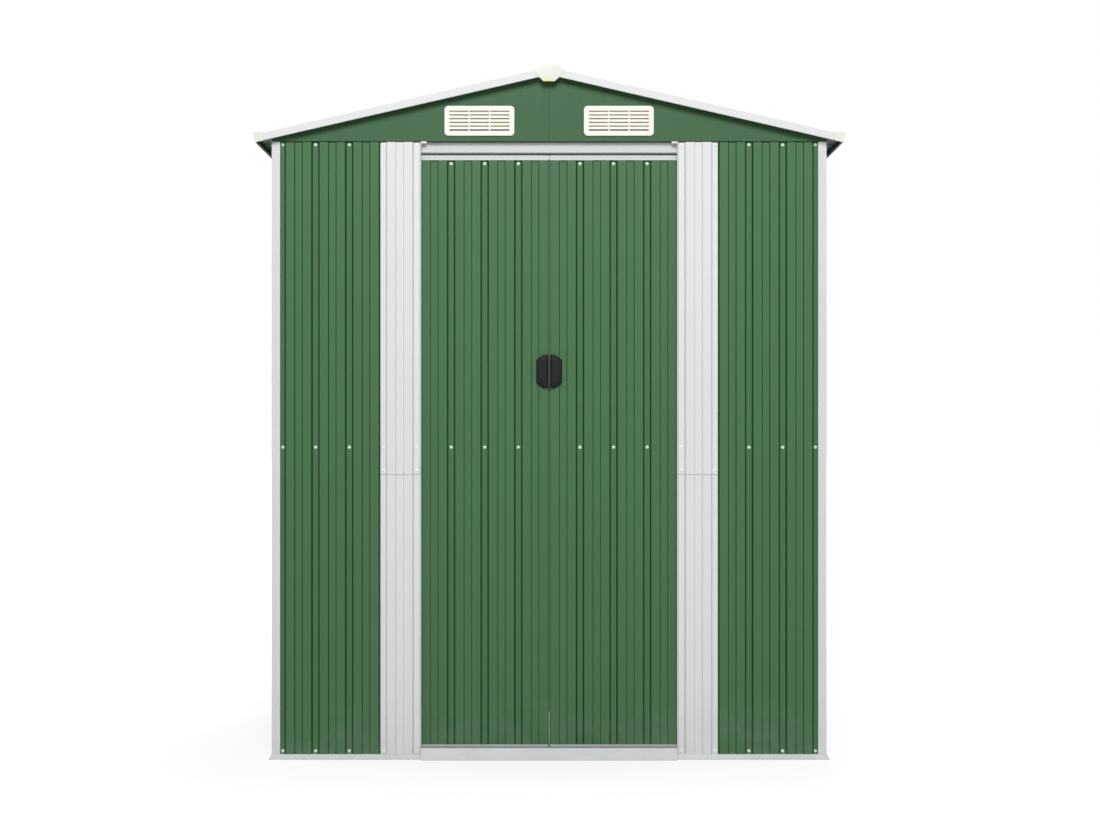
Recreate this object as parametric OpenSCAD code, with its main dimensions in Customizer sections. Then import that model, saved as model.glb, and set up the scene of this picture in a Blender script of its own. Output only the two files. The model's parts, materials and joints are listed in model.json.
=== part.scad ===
// Small garden shed of ribbed steel sheet: four sheet walls on a folded base frame,
// a low gable roof with white trims, and two doors that slide apart behind the front walls.
// X runs to the right, Y from the front to the back, Z up. The origin is on the ground,
// in the middle of the plan.

/* [Walls] */
// Width over the corner posts
wall_w = 1808; // [1790:2:1840]
// Depth over the corner posts, front to back
wall_d = 1456; // [1200:4:2000]
// Top edge of the wall sheets
wall_top = 2011; // [1990:1:2012]
// Thickness of the wall, door and roof sheets
sheet_t = 1.2; // [0.8:0.1:1.6]
// Spacing of the deep grooves in every sheet
rib_pitch = 110; // [108:1:112]
// Width of a deep groove at the face of the sheet
groove_w = 26.5; // [18:0.5:28]
// Depth of a deep groove
groove_depth = 7; // [5:0.5:10]
// Run of a deep groove's sloping side
groove_side = 4.5; // [3:0.5:5]
// Width of a shallow groove at the face of the sheet
dip_w = 27.5; // [20:0.5:30]
// Depth of a shallow groove
dip_depth = 3.5; // [1:0.5:5]
// Run of a shallow groove's sloping side
dip_side = 2.5; // [2:0.5:5]

/* [Doorway] */
// Clear width between the two white door strips
opening_w = 834; // [800:2:860]
// Width of a white door strip
strip_w = 133; // [120:1:140]
// Height of the joint between a lower and an upper door strip
strip_joint = 928; // [700:1:1200]
// Top of the threshold
threshold_h = 38; // [34:1:42]
// Lower edge of the header over the doors
header_z = 1979; // [1970:1:1980]
// Distance from the front face of the walls back to the face of the doors
door_recess = 26; // [25:1:30]

/* [Doors] */
// Gap between the two closed doors
door_gap = 5; // [5:0.5:8]
// Width of each closed door that lies behind its door strip
door_lap = 12; // [8:1:16]
// Lower edge of a door
door_bottom = 36; // [36:1:46]
// Upper edge of a door
door_top = 1973; // [1960:1:1973]
// Height of the two handles' middle
handle_z = 1265; // [1000:5:1400]
// Height of a handle
handle_h = 108; // [90:2:130]
// Width of the two handles together
handle_w = 84; // [76:2:96]
// Distance that a handle stands out from its door
handle_out = 17; // [14:1:26]

/* [Roof] */
// Width over the roof's edge trims
roof_w = 1920; // [1910:2:1960]
// Distance from the corner posts to the face of the roof's corner caps
overhang = 32; // [30:1:40]
// Slope of the roof
pitch = 12.9; // [12:0.1:14]
// Underside of the gable trim at the eaves
eave_z = 2005; // [2004:1:2012]
// Upright height of the gable trim
fascia_h = 24; // [24:1:30]
// Width of the cap along the ridge
ridge_w = 100; // [96:2:120]

/* [Frame] */
// Thickness of posts, rails and trims
frame_t = 1.5; // [1:0.1:2]
// Width of each face of a corner post
post_w = 27.5; // [24:0.5:32]
// Height of the base frame's outer lip
base_h = 16; // [14:1:20]
// Distance that the foot of the base frame stands out beyond the wall sheets
base_out = 10; // [9:0.5:12]
// Height of the screw line at the middle of the walls
mid_z = 1016; // [900:1:1100]

/* [Vents] */
// Width of a gable vent
vent_w = 228; // [200:2:240]
// Height of a gable vent
vent_h = 98; // [90:1:104]
// Distance from the middle of the gable to the middle of a vent
vent_x = 227; // [200:1:260]
// Height of a vent's middle
vent_z = 2079; // [2078:1:2086]

/* [Hidden] */

white = [0.88, 0.88, 0.89];
green = [0.34, 0.49, 0.34];
zinc = [0.66, 0.68, 0.69];
cream = [0.95, 0.95, 0.92];
charcoal = [0.18, 0.18, 0.18];

fit = 0.3;                                  // gap left between two pieces that only lie together
half_w = wall_w / 2;
half_d = wall_d / 2;
face_x = half_w - frame_t;                  // outer face of the side sheets, under the posts
face_y = half_d - frame_t;                  // outer face of the front and back sheets
sheet_depth = groove_depth + sheet_t;       // front to back over a ribbed sheet
sheet_end = sheet_depth + 2;                // room that a sheet leaves at a corner
sheet_foot = base_h + fit;
groove_x0 = half_w - 32;                    // the deep groove nearest the corner
half_opening = opening_w / 2;
strip_x1 = half_opening + strip_w;          // where a door strip meets the green sheet
strip_fold = sheet_depth + 2;               // how far a door strip's edge is folded back
strip_face = 1.5;                           // least width of the flat beside that fold
sheet_gap = 1;                              // between a door strip and the green sheet beside it
wall_x1 = face_x - sheet_end;

base_step = sheet_depth + fit + frame_t / 2;    // the base rail's upstand, behind the sheets
base_flange = 45;                           // how far the base frame reaches inwards
base_upstand = 60;
base_x = face_x + base_out;                 // half the base frame's width
base_y = face_y + base_out;                 // half the base frame's depth
base_lean = 7.5;                            // from the foot of the outer lip back to its top
threshold_out = 2.5;                        // from the base frame to the top of the threshold
threshold_lean = 18;                        // from there out to the threshold's foot
threshold_back = 2;                         // from the threshold's back lip to the track

door_y = -face_y + door_recess;             // front face of the doors
door_mid_y = door_y + sheet_depth / 2;
door_x0 = door_gap / 2;
door_x1 = half_opening + door_lap;
door_groove_x0 = 101;                       // the deep groove nearest the middle of the doorway
channel_h = 18;                             // upright height of a door's top channel
foot_channel_h = 7.5;                       // upright height of a door's bottom channel
sheet_inset = 2;                            // from the end of a channel to the edge of its sheet
track_in = 10;                              // from the middle of a track to its inner faces
track_half = track_in + frame_t;
track_x1 = half_w - 24;
track_top = header_z + 32;
track_floor = base_h + 3;                   // underside of the bottom track's web
track_rim = door_bottom - 5;                // top of the bottom track's walls
slider_t = 10;
slider_w = 30;
slider_inset = 60;                          // from a door's edge to the middle of a slider
slider_low = track_floor + 7;
slider_high = header_z + 20;

tan_pitch = tan(pitch);
half_roof_w = roof_w / 2;
half_roof_d = half_d + overhang;
cap_l = 34;                                 // corner cap, in plan
cap_t = 2;
cap_top = eave_z + 33;
eave_slope = 0.2;                           // run of the eave's outer side for each mm of height
trim_y = half_roof_d - cap_t;               // outer face of the gable trims
sheet_drop = 3;                             // from a gable trim's top down to the roof sheet
roof_gap = 1.5;                             // left between the roof sheets and what carries them
gable_foot = wall_top + 2;
vent_rim = 12;                              // how far a vent laps over its opening's edge

function normal(a, b) = [a.y - b.y, b.x - a.x] / norm(b - a);
function miter(path, i) =
    let (last = len(path) - 1,
         before = normal(path[max(i - 1, 0)], path[max(i, 1)]),
         after = normal(path[min(i, last - 1)], path[min(i + 1, last)]))
    (before + after) / (1 + before * after);
// Outline of a strip of thickness t folded along the middle line path
function folded(path, t) = concat(
    [for (i = [0 : len(path) - 1]) path[i] + miter(path, i) * t / 2],
    [for (i = [len(path) - 1 : -1 : 0]) path[i] - miter(path, i) * t / 2]);

// Depth of a ribbed sheet at distance u from a deep groove's middle
function ramp(u, half, side, depth) = depth * min(1, max(0, (half - abs(u)) / side));
function wrapped(u) = u - rib_pitch * round(u / rib_pitch);
function rib_at(x, x0) = max(
    ramp(wrapped(x - x0), groove_w / 2, groove_side, groove_depth),
    ramp(wrapped(x - x0 - rib_pitch / 2), dip_w / 2, dip_side, dip_depth));
// Middle line of a ribbed sheet from a to b, with a deep groove at x0
function rib_path(a, b, x0) =
    let (first = floor((a - x0) / rib_pitch) - 1, last = ceil((b - x0) / rib_pitch) + 1,
         dip = rib_pitch / 2,
         bends = [-groove_w / 2, groove_side - groove_w / 2, groove_w / 2 - groove_side,
                  groove_w / 2, dip - dip_w / 2, dip - dip_w / 2 + dip_side,
                  dip + dip_w / 2 - dip_side, dip + dip_w / 2],
         inner = [for (k = [first : last]) for (u = bends)
                  if (x0 + k * rib_pitch + u > a + 1 && x0 + k * rib_pitch + u < b - 1)
                  x0 + k * rib_pitch + u])
    [for (x = concat([a], inner, [b])) [x, rib_at(x, x0) + sheet_t / 2]];

function trim_under(x) = eave_z + (half_roof_w - abs(x)) * tan_pitch;
function sheet_over(x) = trim_under(x) + fascia_h - sheet_drop;
function eave_x(z) = half_roof_w - eave_slope * (cap_top - z);
function sheet_under(x) = sheet_over(x) - sheet_depth / cos(pitch);

// An outline in X and Z, drawn from y0 back to y1
module across_depth(y0, y1) translate([0, y1, 0]) rotate([90, 0, 0]) linear_extrude(y1 - y0) children();
// An outline in Y and Z, drawn from x0 to x1
module across_width(x0, x1) translate([x0, 0, 0]) rotate([90, 0, 90]) linear_extrude(x1 - x0) children();
module ribbed(a, b, z0, z1, x0)
    translate([0, 0, z0]) linear_extrude(z1 - z0) polygon(folded(rib_path(a, b, x0), sheet_t));
module rounded_plate(w, h, r) {
    square([w - 2 * r, h], center = true);
    square([w, h - 2 * r], center = true);
    for (x = [-1, 1], y = [-1, 1]) translate([x * (w / 2 - r), y * (h / 2 - r)]) circle(r, $fn = 48);
}
module mirror_copy(v) { children(); mirror(v) children(); }

// ---- Base frame ----

// One side of the base frame, cut at 45 degrees where it meets the next
module base_rail(half_length, half_across, face)
    intersection() {
        across_width(-half_length, half_length)
            polygon(folded([
                [-face + base_flange, frame_t / 2], [-half_across + frame_t / 2, frame_t / 2],
                [-half_across + frame_t / 2 + base_lean, base_h - frame_t / 2],
                [-face + base_step, base_h - frame_t / 2], [-face + base_step, base_upstand]],
                frame_t));
        linear_extrude(base_upstand)
            polygon([[-half_length, -half_across], [half_length, -half_across],
                     [half_length - half_across, 0], [half_across - half_length, 0]]);
    }

// The front rail's upstand stops at the door strips
module base_rail_front() color(white)
    difference() {
        base_rail(base_x, base_y, face_y);
        translate([-strip_x1, -base_y, base_h]) cube([2 * strip_x1, base_y, base_upstand]);
    }
module base_rail_back() color(white) mirror([0, 1, 0]) base_rail(base_x, base_y, face_y);
module base_rail_left() color(white) mirror([1, 0, 0]) rotate(90) base_rail(base_y, base_x, face_x);
module base_rail_right() color(white) rotate(90) base_rail(base_y, base_x, face_x);

// ---- Doorway ----

// A sill over the bottom track, with a face that slopes outwards to the ground
module threshold() color(white)
    across_width(-half_opening + fit, half_opening - fit)
        polygon(folded([
            [-base_y - threshold_out - threshold_lean, frame_t / 2],
            [-base_y - threshold_out, threshold_h - frame_t / 2],
            [door_mid_y - track_half - threshold_back, threshold_h - frame_t / 2],
            [door_mid_y - track_half - threshold_back, track_floor]], frame_t));

module door_track_bottom() color(zinc)
    across_width(-track_x1, track_x1)
        translate([door_mid_y, 0]) {
            for (side = [-1, 1])
                translate([side * (track_in + frame_t / 2) - frame_t / 2, frame_t + fit])
                    square([frame_t, track_rim - frame_t - fit]);
            translate([-track_half, track_floor]) square([2 * track_half, frame_t]);
        }

module door_track_top() color(zinc)
    across_width(-track_x1, track_x1)
        polygon(folded([
            [door_mid_y - track_half + frame_t / 2, header_z],
            [door_mid_y - track_half + frame_t / 2, track_top - frame_t / 2],
            [door_mid_y + track_half - frame_t / 2, track_top - frame_t / 2],
            [door_mid_y + track_half - frame_t / 2, header_z]], frame_t));

module door_header() color(white)
    across_width(-half_opening - door_lap, half_opening + door_lap)
        polygon(folded([
            [door_mid_y - track_half - frame_t / 2 - fit, header_z],
            [door_mid_y - track_half - frame_t / 2 - fit, wall_top - frame_t / 2],
            [-face_y + strip_fold + frame_t, wall_top - frame_t / 2]], frame_t));

// The strip's edge at the doorway is folded back
module door_strip(z0, z1) color(white)
    translate([0, -face_y, z0]) linear_extrude(z1 - z0)
        polygon(folded(concat(
            [[half_opening + sheet_t / 2, strip_fold], [half_opening + sheet_t / 2, sheet_t / 2]],
            [for (p = rib_path(half_opening, strip_x1, groove_x0)) if (p.x > half_opening + strip_face) p]),
            sheet_t));
module door_strip_right_lower() door_strip(sheet_foot, strip_joint);
module door_strip_right_upper() door_strip(strip_joint + fit, wall_top);
module door_strip_left_lower() mirror([1, 0, 0]) door_strip_right_lower();
module door_strip_left_upper() mirror([1, 0, 0]) door_strip_right_upper();

// ---- Walls ----

module corner_post()
    translate([0, 0, sheet_foot]) linear_extrude(wall_top - sheet_foot)
        polygon(folded([
            [half_w - post_w, -half_d + frame_t / 2],
            [half_w - frame_t / 2, -half_d + frame_t / 2],
            [half_w - frame_t / 2, -half_d + post_w]], frame_t));
module corner_post_front_right() color(white) corner_post();
module corner_post_front_left() color(white) mirror([1, 0, 0]) corner_post();
module corner_posts_back() color(white) mirror_copy([1, 0, 0]) mirror([0, 1, 0]) corner_post();

module front_wall_right() color(green)
    translate([0, -face_y, 0]) ribbed(strip_x1 + sheet_gap, wall_x1, sheet_foot, wall_top, groove_x0);
module front_wall_left() color(green) mirror([1, 0, 0]) front_wall_right();
module side_wall_right() color(green)
    translate([face_x, 0, 0]) rotate(90)
        ribbed(-face_y + sheet_end, face_y - sheet_end, sheet_foot, wall_top, 0);
module side_wall_left() color(green) mirror([1, 0, 0]) side_wall_right();
module back_wall() color(green)
    translate([0, face_y, 0]) rotate(180) ribbed(-wall_x1, wall_x1, sheet_foot, wall_top, 0);

// A shallow hat section of the given depth, with its two brims against the back of a sheet
module mid_rail(length, depth) {
    crown_half = 12;
    foot_half = 18;
    brim_half = 28;
    brim_y = sheet_depth + fit + frame_t / 2;
    crown_y = brim_y + depth - frame_t;
    across_width(-length / 2, length / 2)
        polygon(folded([
            [brim_y, mid_z - brim_half], [brim_y, mid_z - foot_half], [crown_y, mid_z - crown_half],
            [crown_y, mid_z + crown_half], [brim_y, mid_z + foot_half], [brim_y, mid_z + brim_half]],
            frame_t));
}
module mid_rails() color(zinc) {
    rail_end = 24;
    front_depth = 6;
    side_depth = 10;
    mirror_copy([1, 0, 0]) {
        translate([(strip_x1 + wall_x1) / 2, -face_y, 0])
            mid_rail(wall_x1 - strip_x1 - rail_end, front_depth);
        translate([face_x, 0, 0]) rotate(90)
            mid_rail(2 * (face_y - door_recess - rail_end), side_depth);
    }
    translate([0, face_y, 0]) rotate(180) mid_rail(2 * (wall_x1 - rail_end), side_depth);
}

// An angle along the top of a wall, with its upright leg against the back of the sheet
module top_rail(half_length, face, top) {
    leg_y = -face + sheet_depth + fit + frame_t / 2;
    foot_z = wall_top - 36;
    foot_reach = 30;
    across_width(-half_length, half_length)
        polygon(folded([[leg_y, top], [leg_y, foot_z], [leg_y + foot_reach, foot_z]], frame_t));
}
module top_rails() color(zinc) {
    side_end = 26;
    back_end = 36;
    side_top = sheet_under(half_w) - 2;
    back_top = gable_foot + 6;
    mirror_copy([1, 0, 0]) rotate(90) top_rail(face_y - door_recess - side_end, face_x, side_top);
    rotate(180) top_rail(wall_x1 - back_end, face_y, back_top);
}

// ---- Gables ----

// A whole gable with its two vent openings
module gable_outline() {
    side_top = sheet_under(half_w) - roof_gap;
    difference() {
        polygon([[-half_w, gable_foot], [half_w, gable_foot], [half_w, side_top],
                 [0, sheet_under(0) - roof_gap], [-half_w, side_top]]);
        mirror_copy([1, 0]) translate([vent_x, vent_z])
            square([vent_w - 2 * vent_rim, vent_h - 2 * vent_rim], center = true);
    }
}
// The foot of a front gable is folded back over the header
module gable_front_right() color(green) {
    flange = 19;
    across_depth(-half_d, -half_d + sheet_t)
        intersection() {
            gable_outline();
            translate([fit / 2, gable_foot]) square(half_w);
        }
    translate([fit / 2, -half_d, gable_foot]) cube([half_w - post_w, flange, sheet_t]);
}
module gable_front_left() color(green) mirror([1, 0, 0]) gable_front_right();
module gable_back() color(green) across_depth(half_d - sheet_t, half_d) gable_outline();

// A vent: a rounded plate with three columns of six slots
module vent() {
    slot_w = 62;
    slot_h = 5.5;
    slot_dx = 66.5;
    slot_dz = 12.1;
    vent_t = 5;
    corner = 13;
    translate([vent_x, -half_d - fit - vent_t, vent_z]) across_depth(0, vent_t)
        difference() {
            rounded_plate(vent_w, vent_h, corner);
            for (column = [-1 : 1], row = [0 : 5])
                translate([column * slot_dx, (row - 2.5) * slot_dz])
                    square([slot_w, slot_h], center = true);
        }
}
module vents_front() color(cream) mirror_copy([1, 0, 0]) vent();
module vents_back() color(cream) mirror([0, 1, 0]) vents_front();

// ---- Roof ----

module roof_sheet_right() color(green) {
    ridge_inset = 6;
    eave_inset = 8;
    sheet_half = trim_y - 5;
    translate([0, 0, sheet_over(0)]) rotate([0, pitch, 0])
        across_width(ridge_inset / cos(pitch), (half_roof_w - eave_inset) / cos(pitch))
            mirror([0, 1]) polygon(folded(rib_path(-sheet_half, sheet_half, 0), sheet_t));
}
module roof_sheet_left() color(green) mirror([1, 0, 0]) roof_sheet_right();

// Three folded channels, open downwards: one under the ridge and one halfway down each slope
module roof_beams() color(zinc) {
    purlin_x = 470;
    half_beam = 20;
    beam_h = 40;
    beam_l = half_d - sheet_t - 4;
    ridge_beam_top = sheet_under(half_beam) - roof_gap;
    across_depth(-beam_l, beam_l)
        polygon(folded([
            [-half_beam, ridge_beam_top - beam_h], [-half_beam, ridge_beam_top],
            [half_beam, ridge_beam_top], [half_beam, ridge_beam_top - beam_h]], frame_t));
    mirror_copy([1, 0, 0])
        translate([purlin_x, 0, sheet_under(purlin_x) - roof_gap]) rotate([0, pitch, 0])
            across_depth(-beam_l, beam_l)
                polygon(folded([[-half_beam, -beam_h], [-half_beam, -frame_t],
                                [half_beam, -frame_t], [half_beam, -beam_h]], frame_t));
}

// The ridge cap's flat top, its outer edges and the short lips along them
ridge_flat = 20;
ridge_top = sheet_over(0) + 11;
ridge_edge = sheet_over(ridge_w / 2) + sheet_drop + 2.5;
ridge_lip = 1.6;
module ridge_cap() color(white)
    across_depth(-trim_y, trim_y)
        polygon(folded([
            [-ridge_w / 2, ridge_edge - ridge_lip], [-ridge_w / 2, ridge_edge], [-ridge_flat, ridge_top],
            [ridge_flat, ridge_top], [ridge_w / 2, ridge_edge], [ridge_w / 2, ridge_edge - ridge_lip]],
            frame_t));

// An eight-sided plate over the front end of the ridge, with a flange over the cap's flat top
module ridge_end_cap() {
    foot_half = 18;
    foot_z = trim_under(0) - 22;
    widest = ridge_w / 2 + 1.5;
    side_low = ridge_edge - 7;
    side_high = ridge_edge + 2;
    flange_t = 1.5;
    flange_l = 32;
    top = ridge_top + frame_t / 2 + fit + flange_t;
    across_depth(-half_roof_d, -trim_y - fit)
        polygon([[-foot_half, foot_z], [foot_half, foot_z], [widest, side_low], [widest, side_high],
                 [ridge_flat, top], [-ridge_flat, top], [-widest, side_high], [-widest, side_low]]);
    across_depth(-half_roof_d, -half_roof_d + flange_l)
        translate([-ridge_flat, top - flange_t]) square([2 * ridge_flat, flange_t]);
}
module ridge_end_cap_front() color(cream) ridge_end_cap();
module ridge_end_cap_back() color(cream) mirror([0, 1, 0]) ridge_end_cap();

// A channel lying along the slope, open towards the roof
module gable_trim() {
    end_x = half_roof_w - cap_l;
    flange = 30;
    lip = 9;
    module band(low, high, y1)
        across_depth(-trim_y, y1)
            polygon([[fit, trim_under(0) + low], [end_x, trim_under(end_x) + low],
                     [end_x, trim_under(end_x) + high], [fit, trim_under(0) + high]]);
    band(0, fascia_h, -trim_y + frame_t);
    band(fascia_h - frame_t, fascia_h, -trim_y + flange);
    band(0, frame_t, -trim_y + lip);
}
module gable_trim_front_right() color(white) gable_trim();
module gable_trim_front_left() color(white) mirror([1, 0, 0]) gable_trim();
module gable_trims_back() color(white) mirror_copy([1, 0, 0]) mirror([0, 1, 0]) gable_trim();

// A channel along the eave: over the roof sheets' ends, down and inwards, and back under them
module eave_trim_right() color(white) {
    side_in = 1 + frame_t / 2;
    rise = 1 + frame_t / 2;
    over = 22;
    under = 8;
    top_z = sheet_over(half_roof_w) + rise;
    top_x = eave_x(top_z) - side_in;
    foot_z = eave_z - 1;
    foot_x = eave_x(foot_z) - side_in;
    across_depth(-half_roof_d + cap_l, half_roof_d - cap_l)
        polygon(folded([
            [top_x - over, top_z + over * tan_pitch], [top_x, top_z],
            [foot_x, foot_z], [foot_x - under, foot_z]], frame_t));
}
module eave_trim_left() color(white) mirror([1, 0, 0]) eave_trim_right();

// A hollow block over each corner of the roof's edge, open inwards and below. Its foot follows the
// gable trim, and its outer side leans like the eave trim.
module corner_caps() color(cream) {
    foot_drop = 2;
    inner_x = half_roof_w - cap_l;
    foot_z = trim_under(half_roof_w - cap_l / 4) - foot_drop;
    mirror_copy([1, 0, 0]) mirror_copy([0, 1, 0])
        difference() {
            across_depth(-half_roof_d, -half_roof_d + cap_l)
                polygon([[inner_x, trim_under(inner_x) - foot_drop], [eave_x(foot_z), foot_z],
                         [half_roof_w, cap_top], [inner_x, cap_top]]);
            across_depth(-half_roof_d + cap_t, half_roof_d)
                polygon([[inner_x - cap_t, foot_z - cap_t], [eave_x(foot_z) - cap_t, foot_z - cap_t],
                         [half_roof_w - cap_t, cap_top - cap_t], [inner_x - cap_t, cap_top - cap_t]]);
        }
}

// ---- Doors ----

module door_right_sheet() color(green)
    translate([0, door_y, 0])
        ribbed(door_x0 + sheet_inset, door_x1 - sheet_inset, door_bottom + sheet_inset,
               door_top - sheet_inset, door_groove_x0);

// A channel folded round an edge of the sheet, opening upwards or downwards as inward is 1 or -1
module door_channel(edge, inward, height) {
    out = sheet_depth / 2 + fit + frame_t / 2;
    across_width(door_x0, door_x1)
        polygon(folded([
            [door_mid_y - out, edge + inward * height], [door_mid_y - out, edge + inward * frame_t / 2],
            [door_mid_y + out, edge + inward * frame_t / 2], [door_mid_y + out, edge + inward * height]],
            frame_t));
}
module door_sliders(z0, z1)
    for (x = [door_x0 + slider_inset, door_x1 - slider_inset])
        translate([x - slider_w / 2, door_mid_y - slider_t / 2, z0]) cube([slider_w, slider_t, z1 - z0]);
// The channels, a flat rail behind the sheet's middle, and the sliders that run in the tracks
module door_right_channels() color(white) {
    rail_h = 40;
    rail_inset = 4;
    door_channel(door_bottom, 1, foot_channel_h);
    door_sliders(slider_low, door_bottom + frame_t / 2);
    door_channel(door_top, -1, channel_h);
    door_sliders(door_top - frame_t / 2, slider_high);
    translate([door_x0 + rail_inset, door_y + sheet_depth + fit, mid_z - rail_h / 2])
        cube([door_x1 - door_x0 - 2 * rail_inset, frame_t, rail_h]);
}

// Half of a long octagon
module door_right_handle() color(charcoal) {
    corner_w = 22;
    corner_h = 18;
    inner_x = door_x0 + 0.5;
    foot_y = door_y - fit;
    across_depth(foot_y - handle_out, foot_y) translate([0, handle_z])
        polygon([[inner_x, -handle_h / 2], [handle_w / 2 - corner_w, -handle_h / 2],
                 [handle_w / 2, corner_h - handle_h / 2], [handle_w / 2, handle_h / 2 - corner_h],
                 [handle_w / 2 - corner_w, handle_h / 2], [inner_x, handle_h / 2]]);
}
module door_left_sheet() mirror([1, 0, 0]) door_right_sheet();
module door_left_channels() mirror([1, 0, 0]) door_right_channels();
module door_left_handle() mirror([1, 0, 0]) door_right_handle();

base_rail_front();
base_rail_back();
base_rail_left();
base_rail_right();
threshold();
door_track_bottom();
door_track_top();
door_header();
corner_post_front_left();
corner_post_front_right();
corner_posts_back();
front_wall_left();
front_wall_right();
door_strip_left_lower();
door_strip_left_upper();
door_strip_right_lower();
door_strip_right_upper();
side_wall_left();
side_wall_right();
back_wall();
mid_rails();
top_rails();
gable_front_left();
gable_front_right();
gable_back();
vents_front();
vents_back();
roof_beams();
roof_sheet_left();
roof_sheet_right();
ridge_cap();
ridge_end_cap_front();
ridge_end_cap_back();
gable_trim_front_left();
gable_trim_front_right();
gable_trims_back();
eave_trim_left();
eave_trim_right();
corner_caps();
door_left_sheet();
door_left_channels();
door_left_handle();
door_right_sheet();
door_right_channels();
door_right_handle();
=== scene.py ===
"""Looks of the metal storage shed: thin ribbed sheet with rounded bends and laps, painted steel
trims with softened edges, moulded plastic vents, caps and handles, and the screws."""
import json
import math

import bmesh
import bpy
from mathutils import Matrix, Vector, noise

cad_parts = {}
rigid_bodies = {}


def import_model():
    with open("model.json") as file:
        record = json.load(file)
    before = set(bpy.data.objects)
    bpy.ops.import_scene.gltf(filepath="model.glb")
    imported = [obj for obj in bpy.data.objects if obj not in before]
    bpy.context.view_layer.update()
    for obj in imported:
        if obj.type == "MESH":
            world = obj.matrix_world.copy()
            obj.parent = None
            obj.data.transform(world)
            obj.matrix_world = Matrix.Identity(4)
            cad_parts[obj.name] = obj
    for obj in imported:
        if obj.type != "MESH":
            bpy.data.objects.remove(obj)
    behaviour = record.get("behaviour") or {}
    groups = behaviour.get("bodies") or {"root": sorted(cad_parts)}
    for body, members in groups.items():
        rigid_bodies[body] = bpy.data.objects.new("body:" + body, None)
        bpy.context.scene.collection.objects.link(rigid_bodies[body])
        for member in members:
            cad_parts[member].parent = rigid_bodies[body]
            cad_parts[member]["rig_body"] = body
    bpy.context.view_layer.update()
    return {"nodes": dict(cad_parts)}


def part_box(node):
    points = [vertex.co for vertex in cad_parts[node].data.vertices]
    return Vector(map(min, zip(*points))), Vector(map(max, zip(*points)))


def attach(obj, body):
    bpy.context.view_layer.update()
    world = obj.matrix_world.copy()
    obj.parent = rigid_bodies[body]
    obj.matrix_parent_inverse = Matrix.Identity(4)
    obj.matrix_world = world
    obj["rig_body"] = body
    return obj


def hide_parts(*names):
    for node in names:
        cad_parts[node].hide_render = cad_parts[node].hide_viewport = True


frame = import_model()
NODES = frame["nodes"]
SCENE = bpy.context.scene

# ---------------------------------------------------------------- sizes, in metres

RIB_PITCH = 0.110
GROOVE_W, GROOVE_D, GROOVE_SIDE = 0.0277, 0.0066, 0.0050
DIP_W, DIP_D, DIP_SIDE = 0.0275, 0.0035, 0.0027
STEEL_T = 0.0005            # the thin sheet as it is shown
BEND_R = 0.0010             # radius of the sheet's bends
LAP = 0.0005                # how far one sheet lies behind the sheet that laps over it
SHEET_LAP = 0.018           # width of the lap between two sheets of a wall
SHEET_WAVE = 0.00012        # how far a flat of the sheet swells
ROW_STEP = 0.11             # spacing of the rows of points along a sheet
EDGE_CLEAR = 0.001          # a bend nearer than this to a sheet's edge is left out
# how far the front's sheets lie behind the wall's face
UPPER_STRIP_IN, LOWER_STRIP_IN, FRONT_SHEET_IN = -0.0011, 0.0004, 0.0010
# shares of the painted shade on a bend's sides: in a shallow groove, and on a side that faces away
# from the doorway
GREEN_BEND_SHADE, WHITE_BEND_SHADE = (0.62, 1.0), (0.9, 0.35)

LOW, HIGH = 0, 1            # the two corners of a box
SIDES = ((1, "right"), (-1, "left"))
FRONT_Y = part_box("front_wall_right")[LOW].y
BACK_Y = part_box("back_wall")[HIGH].y
SIDE_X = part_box("side_wall_right")[HIGH].x
DOOR_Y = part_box("door_right_sheet")[LOW].y
POST_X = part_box("corner_post_front_right")[HIGH].x
POST_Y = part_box("corner_post_front_right")[LOW].y
POST_W = POST_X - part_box("corner_post_front_right")[LOW].x
GROOVE_X = POST_X - 0.032                        # the deep groove nearest a corner
DOOR_GROOVE_X = 0.101                            # the deep groove nearest the doorway's middle
OPENING_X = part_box("door_strip_right_upper")[LOW].x
STRIP_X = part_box("door_strip_right_upper")[HIGH].x
STRIP_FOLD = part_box("door_strip_right_upper")[HIGH].y - FRONT_Y
WALL_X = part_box("front_wall_right")[HIGH].x
FOOT_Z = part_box("front_wall_right")[LOW].z
WALL_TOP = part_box("front_wall_right")[HIGH].z
MID_Z = (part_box("mid_rails")[LOW].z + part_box("mid_rails")[HIGH].z) / 2
STRIP_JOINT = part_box("door_strip_right_upper")[LOW].z
PITCH = math.radians(12.9)
ROOF_X0 = 0.006                                  # from the ridge to a roof sheet's upper edge
ROOF_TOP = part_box("roof_sheet_right")[HIGH].z
ROOF_LENGTH = (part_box("roof_sheet_right")[HIGH].x - ROOF_X0) / math.cos(PITCH)
DOOR_FOOT, DOOR_TOP = (corner.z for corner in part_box("door_right_sheet"))

# ---------------------------------------------------------------- materials


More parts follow.
